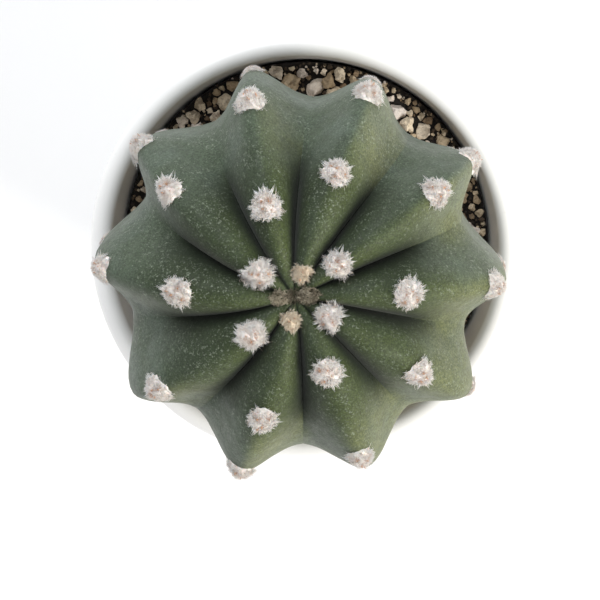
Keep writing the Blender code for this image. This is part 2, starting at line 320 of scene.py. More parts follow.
def waxy_skin():
    """Grey-green skin: bluish bloom outside, pale specks, flanks turned to the key light painted
    lighter and yellower, and painted shade in the grooves.
    """
    f = Finish("waxy_green_skin")
    # Painted light: how far each point faces the key light picks between its painted shade and
    # painted light colours.
    sunny = f.reach(f.number("sunny"), 0.0, 0.95)
    outer = f.reach(f.number("outer"), 0.15, 0.95)
    inner_tone = f.mix(sunny, INNER_PAINTED_SHADE, INNER_PAINTED_LIGHT)
    outer_tone = f.mix(sunny, OUTER_PAINTED_SHADE, OUTER_PAINTED_LIGHT)
    base = f.mix(outer, inner_tone, outer_tone)
    bloom = f.reach(f.noise(120, detail=4), 0.40, 0.68)
    bloom = f.times(bloom, f.reach(outer, 0.0, 1.0, 0.10, 0.40))
    base = f.mix(bloom, base, BLOOM)
    base = f.vary(base, 420, (0.30, grey(0.84)), (0.72, grey(1.14)), 5, 0.65)
    pits = f.reach(f.noise(1900, detail=2, roughness=0.8), 0.54, 0.68)
    base = f.mix(f.times(pits, PIT_STRENGTH), base, PIT)
    patches = f.reach(f.noise(170, detail=3), 0.36, 0.62, 0.35, 1.0)
    specks = f.reach(f.noise(1700, detail=2, roughness=0.8), 0.55, 0.70)
    base = f.mix(f.times(f.times(specks, patches), SPECK_STRENGTH), base, SPECK)
    base = f.vary(base, 3000, (0.36, grey(0.76)), (0.64, grey(1.26)), 1)
    for scale, width, left_out, strength in PALE_DOTS:
        dots = f.reach(f.cells(scale), width * 0.5, width, 1.0, 0.0)
        chosen = f.reach(f.cells(scale, output="Color"), left_out, left_out + 0.04)
        chosen = f.times(f.times(dots, chosen), patches)
        base = f.mix(f.times(chosen, strength), base, PALE_DOT)
    # Painted shade: the grooves are darkened towards near black, most near the apex.
    shade = f.reach(f.number("depth"), 0.12, 0.85)
    base = f.mix(f.times(shade, GROOVE_SHADE_STRENGTH), base, GROOVE_PAINTED_SHADE)
    edge = f.combine("ADD", f.height(), f.times(f.noise(260), BARK_UNEVENNESS))
    cork = f.reach(edge, BARK_FULL, BARK_END, 1.0, 0.0)
    bark = f.ramp(f.noise(900, detail=4), (0.3, BARK_DARK), (0.7, BARK_PALE))
    f.set("Base Color", f.mix(cork, base, bark))
    f.matt(700, 0.50, 0.66)
    f.set("Specular IOR Level", 0.25)
    f.set("Sheen Weight", 0.10)
    f.set("Sheen Roughness", 0.5)
    f.relief(2400, 0.10 * MM, 0.6, roughness=0.7)
    f.relief(420, 0.18 * MM, 0.5)
    return f.material


def new_wool(name, palest, rooty):
    """Dense wool from its root colour up to its palest, for one age of tuft."""
    f = Finish(name)
    stops = [(0.00, rooty)]
    for value, paleness in ((0.16, 0.42), (0.40, 0.90)):
        stops.append((value, tuple(lerp(a, b, paleness) for a, b in zip(rooty, palest))))
    base = f.ramp(f.number("tone"), *stops, (1.00, palest))
    # Painted shade: each hair darkens and warms a little towards its root.
    shade = f.ramp(f.number("along"), (0.0, (0.97, 0.91, 0.86)), (0.45, grey(1.0)))
    base = f.tint(base, shade)
    base = f.vary(base, 900, (0.32, (0.97, 0.92, 0.88)), (0.60, grey(1.0)))
    f.set("Base Color", base)
    f.set("Roughness", 0.9)
    f.set("Specular IOR Level", 0.2)
    f.set("Sheen Weight", 0.4)
    f.set("Subsurface Weight", 0.3)
    f.set("Subsurface Radius", (1.2 * MM, 0.9 * MM, 0.7 * MM))
    f.relief(5200, 0.12 * MM, 0.8, roughness=0.8)
    return f.material


def dark_wool():
    """Matted old wool at the apex, from near black to a greyish tan."""
    f = Finish("old_wool")
    base = f.ramp(
        f.number("tone"),
        (0.0, (0.030, 0.025, 0.018)),
        (0.5, (0.26, 0.225, 0.165)),
        (1.0, (0.80, 0.73, 0.57)),
    )
    base = f.vary(base, 700, (0.35, (0.62, 0.60, 0.58)), (0.65, grey(1.1)))
    f.set("Base Color", base)
    f.set("Roughness", 0.95)
    f.set("Specular IOR Level", 0.15)
    f.relief(4200, 0.15 * MM, 0.8, roughness=0.8)
    return f.material


def spine_horn():
    """Short horny spines: straw at the root, orange-brown at the tip."""
    f = Finish("spine_horn")
    base = f.ramp(
        f.number("along"),
        (0.0, (0.74, 0.54, 0.40)),
        (0.45, (0.66, 0.40, 0.25)),
        (1.0, (0.46, 0.22, 0.11)),
    )
    base = f.vary(base, 1500, (0.3, grey(0.85)), (0.7, (1.15, 1.1, 1.05)))
    f.set("Base Color", base)
    f.set("Roughness", 0.45)
    return f.material


def peat():
    """Near-black moist peat with brown fibres."""
    f = Finish("peat_soil")
    base = f.ramp(
        f.noise(800, detail=6, roughness=0.75),
        (0.30, (0.005, 0.004, 0.003)),
        (0.58, (0.016, 0.012, 0.009)),
        (0.80, (0.070, 0.048, 0.032)),
    )
    flecks = f.reach(f.noise(2100, detail=3, roughness=0.8), 0.66, 0.74)
    f.set("Base Color", f.mix(f.times(flecks, 0.7), base, (0.26, 0.17, 0.10)))
    f.matt(500, 0.75, 0.98)
    f.relief(1800, 0.5 * MM, 1.0, 6, 0.8)
    return f.material


def grit_stone():
    """Crushed stone: each grain's tone runs from brown to tan, cream and pinkish white."""
    f = Finish("grit_stone")
    base = f.ramp(
        f.number("tone"),
        (0.00, (0.022, 0.016, 0.011)),
        (0.25, (0.20, 0.135, 0.080)),
        (0.50, (0.56, 0.44, 0.29)),
        (0.75, (0.80, 0.69, 0.52)),
        (0.90, (0.90, 0.81, 0.73)),
        (1.00, (0.92, 0.86, 0.82)),
    )
    grain = f.ramp(
        f.noise(1300, detail=5, roughness=0.75),
        (0.30, (0.48, 0.43, 0.38)),
        (0.46, (0.97, 0.96, 0.95)),
        (0.75, (1.12, 1.10, 1.08)),
    )
    base = f.tint(base, grain)
    stain = f.reach(f.noise(380, detail=4), 0.55, 0.66)
    f.set("Base Color", f.mix(f.times(stain, 0.60), base, (0.12, 0.080, 0.048)))
    f.matt(900, 0.6, 0.92)
    f.relief(2200, 0.25 * MM, 0.9, 5, 0.7)
    return f.material


# Bare clay at the pot's foot, up to these heights, with an uneven edge.
CLAY_FULL = 1.3 * MM
CLAY_END = 1.7 * MM
CLAY_UNEVENNESS = 0.6 * MM


def white_glaze():
    """White satin glaze over a bare clay foot."""
    f = Finish("white_glaze")
    drift = f.ramp(f.noise(45, detail=4), (0.3, (0.86, 0.86, 0.85)), (0.7, (0.90, 0.90, 0.89)))
    specks = f.reach(f.noise(1300, detail=2), 0.70, 0.76)
    glaze = f.mix(f.times(specks, 0.15), drift, (0.55, 0.52, 0.47))
    edge = f.combine("ADD", f.height(), f.times(f.noise(300), CLAY_UNEVENNESS))
    bare = f.reach(edge, CLAY_FULL, CLAY_END, 1.0, 0.0)
    clay = f.ramp(f.noise(900, detail=5), (0.3, (0.56, 0.50, 0.42)), (0.7, (0.70, 0.65, 0.57)))
    f.set("Base Color", f.mix(bare, glaze, clay))
    smooth = f.reach(f.noise(160, detail=3), 0.3, 0.7, 0.30, 0.42)
    f.set("Roughness", f.combine("MAXIMUM", smooth, f.times(bare, 0.9)))
    f.set("Coat Weight", 0.25)
    f.set("Coat Roughness", 0.25)
    f.relief(240, 0.12 * MM, 0.35)
    return f.material


def studio_floor():
    f = Finish("pale_floor")
    drift = f.ramp(f.noise(3.0), (0.3, grey(0.93)), (0.7, grey(0.95)))
    f.set("Base Color", drift)
    f.set("Roughness", 0.9)
    return f.material


# ------------------------------------------------------------------ the stem

def crown_dome(slope, depth, drop):
    """Radius and rise of the dome over the equator, drawn in and lowered a little."""
    power = 2 / CROWN_FULLNESS
    radius = (STEM_RADIUS - depth) * abs(math.sin(slope)) ** power
    rise = (CROWN_HEIGHT - drop) * abs(math.cos(slope)) ** power
    rise -= (APEX_DIP - drop) * math.exp(-((radius / APEX_DIP_WIDTH) ** 2))
    return radius, rise


def crest_outline(slope):
    """Radius and height of a rib's crest, from the apex (0) to the skirt."""
    if slope <= math.pi / 2:
        radius, rise = crown_dome(slope, 0.0, 0.0)
    else:
        power = 2 / SKIRT_FULLNESS
        radius = STEM_RADIUS * abs(math.sin(slope)) ** power
        rise = -SKIRT_HEIGHT * abs(math.cos(slope)) ** power
    return radius, EQUATOR_HEIGHT + rise


def skirt_end():
    """Slope at which the skirt meets the top of the neck."""
    share = (EQUATOR_HEIGHT - NECK_TOP) / SKIRT_HEIGHT
    return math.pi - math.acos(share ** (SKIRT_FULLNESS / 2))


SKIRT_END = skirt_end()


def groove_outline(slope):
    """Radius and height of the bottom of a groove at the same slope."""
    crest_radius, crest_height = crest_outline(slope)
    if slope <= math.pi / 2:
        radius, rise = crown_dome(slope, GROOVE_DEPTH, GROOVE_DROP)
        belly = GROOVE_BELLY * math.sin(2 * slope) ** 2
        radius -= belly * math.sin(slope)
        rise -= belly * math.cos(slope)
        return radius, EQUATOR_HEIGHT + rise
    fade = 1 - smooth_step(math.pi / 2, SKIRT_END, slope)
    return crest_radius - GROOVE_DEPTH * fade, crest_height


def neck_radius(height):
    """Radius of the round neck; it meets the skirt at its top."""
    top_radius = crest_outline(SKIRT_END)[0]
    if height >= SOIL_LEVEL:
        share = (NECK_TOP - height) / (NECK_TOP - SOIL_LEVEL)
        return lerp(top_radius, NECK_RADIUS, share)
    share = (SOIL_LEVEL - height) / (SOIL_LEVEL - NECK_BOTTOM)
    return lerp(NECK_RADIUS, NECK_TIP_RADIUS, share)


def rib_share(across, slope):
    """How far a point rises from groove (0) to crest (1)."""
    across = abs(across)
    round_rib = 1 - across ** ROUND_RIB_POWER
    reach = math.sqrt(across ** 2 + CREST_SOFTNESS ** 2) - CREST_SOFTNESS
    full_reach = math.sqrt(1 + CREST_SOFTNESS ** 2) - CREST_SOFTNESS
    pointed_rib = 1 - math.sin(math.pi / 2 * reach / full_reach)
    blend = smooth_step(ROUND_RIB_END, POINTED_RIB_START, slope)
    return lerp(round_rib, pointed_rib, blend)


def rib_direction(index, across, slope):
    """Direction of a point between the grooves on both sides of a rib."""
    count = len(RIBS)
    crest, groove = RIBS[index % count][:2]
    if across < 0:
        groove = RIBS[(index - 1) % count][1]
        groove = crest - (crest - groove) % 360
    twist = TWIST * math.exp(-slope / TWIST_LENGTH)
    return math.radians(lerp(crest, groove, abs(across))) + twist


SLOPE_STEP = math.radians(0.1)


def slopes_along(distances):
    """Slopes of the crest points that lie these distances from the apex."""
    slopes = []
    slope = travelled = 0.0
    last = Vector(crest_outline(0.0))
    for distance in distances:
        while travelled < distance and slope < math.pi - SLOPE_STEP:
            slope += SLOPE_STEP
            point = Vector(crest_outline(slope))
            travelled += (point - last).length
            last = point
        slopes.append(slope)
    return slopes


LENGTH_STEPS = 600


def crest_length():
    """Length of a crest from the apex to the top of the neck."""
    slopes = [SKIRT_END * step / LENGTH_STEPS for step in range(LENGTH_STEPS + 1)]
    points = [Vector(crest_outline(slope)) for slope in slopes]
    return sum((b - a).length for a, b in zip(points, points[1:]))


CREST_LENGTH = crest_length()

# The skin's own detail, then its painted shade and light; widths across a rib are shares of half
# its width.
SWELLING = 0.45 * MM
SWELLING_LENGTH = 4.2 * MM
SWELLING_WIDTH = 0.34
CREASE_INNER_DEPTH = 0.55 * MM
CREASE_OUTER_DEPTH = 0.10 * MM
CREASE_WIDTH = 0.045
CREASE_SOFTENS_FROM = 16 * MM
CREASE_SOFTENS_TO = 38 * MM
UNEVENNESS = 0.35 * MM
FINE_UNEVENNESS = 0.3 * UNEVENNESS
UNEVEN_SCALE = 75
FINE_UNEVEN_SCALE = 260
PLAIN_APEX = 2 * MM
DETAIL_FADE = 14 * MM
# Painted shade in the grooves: the slopes over which it fades, its curve, and the share left
# farther out.
SHADE_START = math.radians(26)
SHADE_END = math.radians(66)
SHADE_POWER = 1.15
OUTER_SHADE = 0.22
OUTER_TONE_START = math.radians(18)
OUTER_TONE_END = math.radians(66)
# Direction of the key light, for the painted light and shade on the skin's flanks.
PAINTED_LIGHT_AIM = Vector((0.76, -0.44, 0.44)).normalized()


def swelling(index, across, distance):
    """The rib stands a little prouder under each areole."""
    rise = 0.0
    for areole in RIBS[index % len(RIBS)][2]:
        step = (distance - areole * MM) / SWELLING_LENGTH
        rise += math.exp(-step * step)
    return SWELLING * rise * math.exp(-((across / SWELLING_WIDTH) ** 2))


def crease(across, distance):
    """A sharp fold along the groove, which softens away from the apex."""
    softening = smooth_step(CREASE_SOFTENS_FROM, CREASE_SOFTENS_TO, distance)
    depth = lerp(CREASE_INNER_DEPTH, CREASE_OUTER_DEPTH, softening)
    return depth * math.exp(-(1 - abs(across)) / CREASE_WIDTH)


def skin_point(index, across, slope, distance):
    """A point of the skin, with swellings, creases and slight unevenness."""
    crest = crest_outline(slope)
    groove = groove_outline(slope)
    share = rib_share(across, slope)
    radius = lerp(groove[0], crest[0], share)
    height = lerp(groove[1], crest[1], share)
    turn = rib_direction(index, across, slope)
    point = around(radius, turn, height)
    outward = around(math.sin(slope), turn, math.cos(slope))
    grown = smooth_step(PLAIN_APEX, DETAIL_FADE, distance)
    fading = 1 - smooth_step(CREST_LENGTH - DETAIL_FADE, CREST_LENGTH, distance)
    push = swelling(index, across, distance) - crease(across, distance)
    push += UNEVENNESS * noise.noise(point * UNEVEN_SCALE)
    push += FINE_UNEVENNESS * noise.noise(point * FINE_UNEVEN_SCALE)
    return point + outward * push * grown * fading


def groove_shade(across, slope):
    """Painted shade for a point: the lower it lies between the ribs, the more, most near the
    apex.
    """
    low = 1 - rib_share(across, slope)
    inner = 1 - smooth_step(SHADE_START, SHADE_END, slope)
    return low ** SHADE_POWER * lerp(OUTER_SHADE, 1.0, inner)


COLUMNS_PER_RIB = 36
SKIN_RINGS = 176
NECK_RINGS = 10
GROOVE_CROWDING = 1.4


def across_of(column):
    """Columns crowd towards the grooves, where the skin bends most."""
    even = 2 * column / COLUMNS_PER_RIB - 1
    crowded = 1 - (1 - abs(even)) ** GROOVE_CROWDING
    return math.copysign(crowded, even)


def neck_point(index, across, height):
    """A point of the neck, in line with its rib's column of points."""
    return around(neck_radius(height), rib_direction(index, across, SKIRT_END), height)


def make_skin(finish):
    """A ball with many rings and columns, each moved to its place on the ribs."""
    let_go()
    columns = COLUMNS_PER_RIB * len(RIBS)
    rings = SKIN_RINGS + NECK_RINGS
    middle = Vector((0, 0, EQUATOR_HEIGHT))
    bpy.ops.mesh.primitive_uv_sphere_add(
        segments=columns,
        ring_count=rings,
        radius=STEM_RADIUS,
        location=middle,
    )
    skin = call_it("cactus_skin")
    settle(skin)
    mesh = skin.data
    distances = [CREST_LENGTH * ring / (SKIN_RINGS - 1) for ring in range(SKIN_RINGS)]
    slopes = slopes_along(distances)
    painted_groove_shades, outers = [], []
    for corner in mesh.vertices:
        place = corner.co - middle
        polar = place.angle(Vector((0, 0, 1)))
        ring = round(polar / math.pi * rings)
        column = round(math.atan2(place.y, place.x) / math.tau * columns) % columns
        index, step = divmod(column, COLUMNS_PER_RIB)
        across = across_of(step)
        if ring == 0:
            corner.co = (0, 0, crest_outline(0.0)[1])
        elif ring == rings:
            corner.co = (0, 0, NECK_BOTTOM)
        elif ring < SKIN_RINGS:
            corner.co = skin_point(index, across, slopes[ring], distances[ring])
        else:
            share = (ring - SKIN_RINGS + 1) / NECK_RINGS
            corner.co = neck_point(index, across, lerp(NECK_TOP, NECK_BOTTOM, share))
        slope = slopes[min(ring, SKIN_RINGS - 1)]
        # Painted shade for the grooves, full at the apex.
        painted_groove_shades.append(groove_shade(across, slope) if ring else 1.0)
        outers.append(smooth_step(OUTER_TONE_START, OUTER_TONE_END, slope))
    # The 'depth' numbers carry the painted groove shade to the skin's material.
    add_numbers(mesh, "depth", painted_groove_shades)
    add_numbers(mesh, "outer", outers)
    take(skin)
    edit_all()
    bpy.ops.mesh.normals_make_consistent(inside=False)
    leave_edit()
    # Painted light: how far each corner faces the key light, read by the skin's material.
    add_numbers(mesh, "sunny", [corner.normal.dot(PAINTED_LIGHT_AIM) for corner in mesh.vertices])
    smooth_faces(skin)
    mesh.materials.append(finish)
    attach(skin, "root")
    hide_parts("cactus_stem")
    return skin


# ---------------------------------------------------------- wool and spines

HAIR_CUT = 0.45
HAIR_BELLY = 1.35


def model_hair():
    """One hair: a three-sided cone of length 1, cut near mid-length so that it can bend."""
    let_go()
    bpy.ops.mesh.primitive_cone_add(vertices=3, radius1=0.5, depth=1.0, location=(0, 0, 0.5))
    hair = call_it("hair_pattern")
    settle(hair)
    edit_all()
    bpy.ops.mesh.bisect(plane_co=(0, 0, HAIR_CUT), plane_no=(0, 0, 1))
    leave_edit()
    for corner in hair.data.vertices:
        if abs(corner.co.z - HAIR_CUT) < 0.05:
            corner.co.x *= HAIR_BELLY
            corner.co.y *= HAIR_BELLY
    return keep_shape(hair)


HAIR_POINTS, HAIR_FACES = model_hair()


class Fleece:
    """Hairs gathered into one mesh, each a bent copy of the hair pattern."""

    def __init__(self):
        self.points, self.faces = [], []
        self.tone, self.along, self.kind = [], [], []
        self.count = 0

    def add_shape(self, points, faces, tone, along, kind):
        """Add a shape; kind 0 is wool and kind 1 is horn."""
        self.points.append(points)
        self.faces.extend(tuple(corner + self.count for corner in face) for face in faces)
        self.tone.extend([tone] * len(points))
        self.along.extend(along)
        self.kind.extend([kind] * len(faces))
        self.count += len(points)

    def add_hair(self, root, tip, sag, width, tone, kind=0):
        """A hair from its root to its tip; sag is its middle's shift sideways."""
        root, tip, sag = Vector(root), Vector(tip), Vector(sag)
        run = tip - root
        aim = run.normalized()
        side = aim.orthogonal().normalized()
        other = aim.cross(side)
        basis = np.array((side[:], other[:], aim[:]))
        along = HAIR_POINTS[:, 2]
        local = HAIR_POINTS * np.array((width, width, run.length))
        placed = local @ basis + np.array(root[:])
        bend = 4 * along * (1 - along)
        placed += bend[:, None] * np.array(sag[:])
        self.add_shape(placed, HAIR_FACES, tone, along.tolist(), kind)


TURN_PER_LOCK = math.radians(137.5)
HAIRS_PER_LOCK = 9
NO_SAG = Vector((0, 0, 0))

# A tuft's proportions are shares of its radius, and its tones run from 0 at
# the root colour to 1 at the palest. A pair is the ends of a range, unless
# it says otherwise; hair widths are in millimetres.
OUTLINE_WAVES = ((2, 0.06), (3, 0.07), (4, 0.03), (7, 0.02))  # waves round it and their depth
DOME_HEIGHT = 0.62
DOME_POWER = 2.4
FELT_WIDTH = 0.90
FELT_FLATNESS = 0.60
FELT_TONE = 0.45
FELT_LUMPS = ((900, 0.10), (2600, 0.09))  # scale and height of the noise
LOCK_SPREAD = 0.92
LOCK_ROOTING = 0.82
LOCK_LEAN = 0.25
LOCK_RIM_LEAN = 1.3
LOCK_LENGTH = (0.24, 0.42)
LOCK_TONE = (0.78, 0.20)  # its mean and spread
LOCK_TONE_FLOOR = 0.25
EYE_PLACE = (0.15, 0.55)
EYE_EDGE = (0.10, 0.30)
EYE_TONE = (0.0, 0.16)
EYE_WOOL_LENGTH = 0.45
RAY_ROOT = (0.55, 0.88)
RAY_LENGTH = (0.25, 0.52)
WISP_ROOT = 0.70
WISP_ROOT_HEIGHT = 0.30
WISP_SPREAD = 0.75
WISP_LENGTH = (0.60, 1.05)
SPINE_ROOTING = 0.75
SPINE_LEAN = 0.8
SPINE_LENGTH = (0.26, 0.40)
LOCK_WIDTH = (0.055, 0.085)
RAY_WIDTH = (0.06, 0.10)
WISP_WIDTH = (0.08, 0.12)
SPINE_WIDTH = (0.30, 0.46)


def stray(dice, sideways, upwards):
    """A small random shift."""
    return Vector((dice.gauss(0, sideways), dice.gauss(0, sideways), dice.gauss(0, upwards)))


def any_width(dice, limits):
    """A random hair width between limits in millimetres."""
    return dice.uniform(*limits) * MM


class TuftOutline:
    """An uneven, slightly cornered outline round a tuft of a given radius."""

    def __init__(self, radius, dice):
        self.radius = radius
        self.waves = [(count, depth, dice.uniform(0, math.tau)) for count, depth in OUTLINE_WAVES]

    def reach(self, turn):
        wave = sum(depth * math.cos(count * turn - start) for count, depth, start in self.waves)
        return self.radius * (1 + wave)

    def dome(self, share):
        """Height of the felt at a share of the outline."""
        return self.radius * DOME_HEIGHT * math.sqrt(max(1 - share ** DOME_POWER, 0.0))


def felt_cushion(fleece, outline, dice):
    """The felt under the hairs: a flat ball, roughened, sunk into the skin."""
    let_go()
    bpy.ops.mesh.primitive_ico_sphere_add(subdivisions=4, radius=FELT_WIDTH)
    felt = call_it("felt_pattern")
    edit_all()
    bpy.ops.transform.resize(value=(1, 1, FELT_FLATNESS), center_override=(0, 0, 0))
    leave_edit()
    shift = some_way(dice, 9)
    for corner in felt.data.vertices:
        corner.co *= outline.reach(math.atan2(corner.co.y, corner.co.x))
        lump = sum(noise.noise(corner.co * scale + shift) * depth for scale, depth in FELT_LUMPS)
        corner.co *= 1 + lump
    points, faces = keep_shape(felt)
    fleece.add_shape(points, faces, FELT_TONE, [FELT_TONE] * len(points), 0)


def add_lock(fleece, outline, share, turn, eyes, dice):
    """A lock of wool: a few hairs that stand apart below and meet above.

    The locks round an eye, where a spine stands, are short and pinkish brown.
    """
    radius = outline.radius
    base = level_aim(turn) * outline.reach(turn) * share * LOCK_SPREAD
    nearest = min((base - eye).length for eye in eyes) / radius
    open_wool = smooth_step(*EYE_EDGE, nearest)
    base.z = outline.dome(share) * LOCK_ROOTING
    lean = level_aim(turn) * (LOCK_LEAN + LOCK_RIM_LEAN * share ** 2)
    lean += Vector((dice.gauss(0, 0.30), dice.gauss(0, 0.30), 1.0))
    length = radius * dice.uniform(*LOCK_LENGTH) * lerp(EYE_WOOL_LENGTH, 1.0, open_wool)
    point = base + lean.normalized() * length
    tone = min(max(dice.gauss(*LOCK_TONE), LOCK_TONE_FLOOR), 1.0)
    tone = lerp(dice.uniform(*EYE_TONE), tone, open_wool)
    for _ in range(HAIRS_PER_LOCK):
        root = base + stray(dice, 0.10, 0.03) * radius
        tip = point + stray(dice, 0.085, 0.070) * radius
        sag = stray(dice, 0.055, 0.030) * radius
        width = any_width(dice, LOCK_WIDTH)
        fleece.add_hair(root, tip, sag, width, min(tone + dice.gauss(0, 0.08), 1.0))


def add_ray(fleece, outline, dice):
    """A short white hair at the rim."""
    radius = outline.radius
    turn = dice.uniform(0, math.tau)
    aim = level_aim(turn)
    root = aim * outline.reach(turn) * dice.uniform(*RAY_ROOT)
    root.z = radius * dice.uniform(0.12, 0.42)
    lean = aim + Vector((dice.gauss(0, 0.25), dice.gauss(0, 0.25), dice.uniform(0.02, 0.60)))
    tip = root + lean.normalized() * radius * dice.uniform(*RAY_LENGTH)
    sag = Vector((dice.gauss(0, 0.03), dice.gauss(0, 0.03), dice.uniform(0.0, 0.05))) * radius
    fleece.add_hair(root, tip, sag, any_width(dice, RAY_WIDTH), dice.uniform(0.85, 1.0))


def add_wisp(fleece, outline, dice):
    """Longer hairs that run together to a point, mostly away from the apex."""
    radius = outline.radius
    turn = dice.gauss(math.pi / 2, WISP_SPREAD)
    aim = level_aim(turn)
    base = aim * outline.reach(turn) * WISP_ROOT
    base.z = radius * WISP_ROOT_HEIGHT
    lean = aim + Vector((0.0, 0.0, dice.uniform(0.05, 0.55)))
    point = base + lean.normalized() * radius * dice.uniform(*WISP_LENGTH)
    for _ in range(HAIRS_PER_LOCK):
        root = base + stray(dice, 0.11, 0.07) * radius
        tip = lerp(root, point, dice.uniform(0.65, 1.0)) + stray(dice, 0.025, 0.02) * radius
        sag = stray(dice, 0.02, 0.02) * radius
        fleece.add_hair(root, tip, sag, any_width(dice, WISP_WIDTH), dice.uniform(0.8, 1.0))


def add_spine(fleece, outline, eye, dice):
    """A short horny spine whose tip shows in an eye of the wool."""
    radius = outline.radius
    root = Vector(eye)
    root.z = outline.dome(eye.length / radius) * SPINE_ROOTING
    lean = eye / radius * SPINE_LEAN + Vector((dice.gauss(0, 0.2), dice.gauss(0, 0.2), 1.0))
    tip = root + lean.normalized() * radius * dice.uniform(*SPINE_LENGTH)
    fleece.add_hair(root, tip, NO_SAG, any_width(dice, SPINE_WIDTH), 0.5, kind=1)


def make_tuft_pattern(radius, seed, locks, rays, wisps, spines):
    """A tuft at the origin, +Z out of the skin and +Y away from the apex."""
    dice = random.Random(seed)
    fleece = Fleece()
    outline = TuftOutline(radius, dice)
    felt_cushion(fleece, outline, dice)
    first = dice.uniform(0, math.tau)
    eyes = []
    for order in range(spines):
        turn = first + math.tau * order / spines + dice.uniform(-0.5, 0.5)
        eyes.append(level_aim(turn) * radius * dice.uniform(*EYE_PLACE))
    for lock in range(locks):
        share = math.sqrt((lock + 0.5) / locks)
        turn = lock * TURN_PER_LOCK + dice.uniform(-0.25, 0.25)
        add_lock(fleece, outline, share, turn, eyes, dice)
    for _ in range(rays):
        add_ray(fleece, outline, dice)
    for _ in range(wisps):
        add_wisp(fleece, outline, dice)
    for eye in eyes:
        add_spine(fleece, outline, eye, dice)
    return fleece


CREST_NUDGE = math.radians(2)


def frame_on_crest(index, distance):
    """Place on the crest, with the axes across, down the rib and outward."""
    slope = slopes_along([distance])[0]
    place = skin_point(index, 0.0, slope, distance)
    above = skin_point(index, 0.0, slope - CREST_NUDGE, distance)
    below = skin_point(index, 0.0, slope + CREST_NUDGE, distance)
    down = below - above
    down.normalize()
    radial = Vector((place.x, place.y, 0.0)).normalized()
    across = radial.cross(Vector((0, 0, 1)))
    outward = across.cross(down).normalized()
    across = down.cross(outward)
    return place, across, down, outward


DRAPE_REACH = 4.4 * MM
DRAPE_STEPS = 13
DRAPE_START = 9 * MM
DRAPE_LIMIT = 0.9
DRAPE_SHARE = 0.85
WOOL_SINK = 0.1 * MM


class Drape:
    """Heights of the skin over a small square round a place, for laying wool."""

    def __init__(self, surface, place, across, down, outward):
        self.last = DRAPE_STEPS - 1
        self.table = np.zeros((DRAPE_STEPS, DRAPE_STEPS))
        for row in range(DRAPE_STEPS):
            for column in range(DRAPE_STEPS):
                a = (2 * column / self.last - 1) * DRAPE_REACH
                b = (2 * row / self.last - 1) * DRAPE_REACH
                start = place + across * a + down * b + outward * DRAPE_START
                hit = surface.ray_cast(start, -outward)[0]
                drop = (hit - place).dot(outward) if hit else -DRAPE_REACH
                self.table[row, column] = max(drop, -DRAPE_REACH * DRAPE_LIMIT)

    def cell_of(self, along):
        """The cell that each point lies in, and its share of the way through it."""
        place = np.clip((along / DRAPE_REACH + 1) / 2 * self.last, 0, self.last - 1e-6)
        cell = place.astype(int)
        return cell, place - cell

    def at(self, points):
        """Heights between the four nearest places of the table."""
        column, u = self.cell_of(points[:, 0])
        row, v = self.cell_of(points[:, 1])
        near = self.table[row, column] * (1 - u) + self.table[row, column + 1] * u
        far = self.table[row + 1, column] * (1 - u) + self.table[row + 1, column + 1] * u
        return near * (1 - v) + far * v


def lay_fleece(name, fleece, surface, axes, stance, finishes):
    """Copy a fleece pattern onto the skin; it drapes over the rib below it.

    The stance is the copy's spin, whether it is mirrored, its size and its
    flatness.
    """
    place, across, down, outward = axes
    spin, mirror, size, flatness = stance
    local = np.concatenate(fleece.points) * np.array((size, size, size * flatness))
    if mirror:
        local = local * np.array((-1, 1, 1))
    cosine, sine = math.cos(spin), math.sin(spin)
    local = local @ np.array(((cosine, sine, 0), (-sine, cosine, 0), (0, 0, 1)))
    drape = Drape(surface, place, across, down, outward)
    local[:, 2] += drape.at(local) * DRAPE_SHARE - WOOL_SINK
    basis = np.array((across[:], down[:], outward[:]))
    placed = local @ basis + np.array(place[:])
    faces = [face[::-1] for face in fleece.faces] if mirror else fleece.faces
    piece = piece_from(name, placed, faces)
    mesh = piece.data
    mesh.polygons.foreach_set("material_index", fleece.kind)
    add_numbers(mesh, "tone", fleece.tone)
    add_numbers(mesh, "along", fleece.along)
    for finish in finishes:
        mesh.materials.append(finish)
    mesh.shade_smooth()
    mesh.update()
    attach(piece, "root")
    return piece


TUFT_RADIUS = 2.45 * MM
YOUNG_TUFT_RADIUS = 0.72 * TUFT_RADIUS
OLD_TUFT_SCALE = 0.82
OLD_TUFT_FLATNESS = 0.62
YOUNG_TUFT_REACH = 6
OLD_TUFT_REACH = 50
TUFT_HAIRS = {"locks": 125, "rays": 70, "wisps": 5, "spines": 4}
TUFT_SEEDS = (3, 8, 15, 22, 31, 47)
YOUNG_TUFT_HAIRS = {"locks": 75, "rays": 34, "wisps": 2, "spines": 2}
YOUNG_TUFT_SEEDS = (5, 12)


def make_tufts(surface, wool, young_wool, horn):
    """One wool tuft for each areole, from a few patterns turned and mirrored."""
    dice = random.Random(41)
    grown = [make_tuft_pattern(TUFT_RADIUS, seed, **TUFT_HAIRS) for seed in TUFT_SEEDS]
    young = []
    for seed in YOUNG_TUFT_SEEDS:
        young.append(make_tuft_pattern(YOUNG_TUFT_RADIUS, seed, **YOUNG_TUFT_HAIRS))
    for index, (_, _, distances) in enumerate(RIBS):
        for order, distance in enumerate(distances):
            axes = frame_on_crest(index, distance * MM)
            is_young = distance < YOUNG_TUFT_REACH
            pattern = dice.choice(young if is_young else grown)
            finishes = (young_wool if is_young else wool, horn)
            spin = dice.gauss(0, 0.35)
            mirror = dice.random() < 0.5
            size = dice.uniform(0.93, 1.07)
            flatness = 1.0
            if distance > OLD_TUFT_REACH:
                size *= OLD_TUFT_SCALE
                flatness = OLD_TUFT_FLATNESS
            node = f"areole_rib{index + 1:02d}_{order + 1}"
            stance = (spin, mirror, size, flatness)
            tuft = lay_fleece(f"wool_{node}", pattern, surface, axes, stance, finishes)
            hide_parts(node)


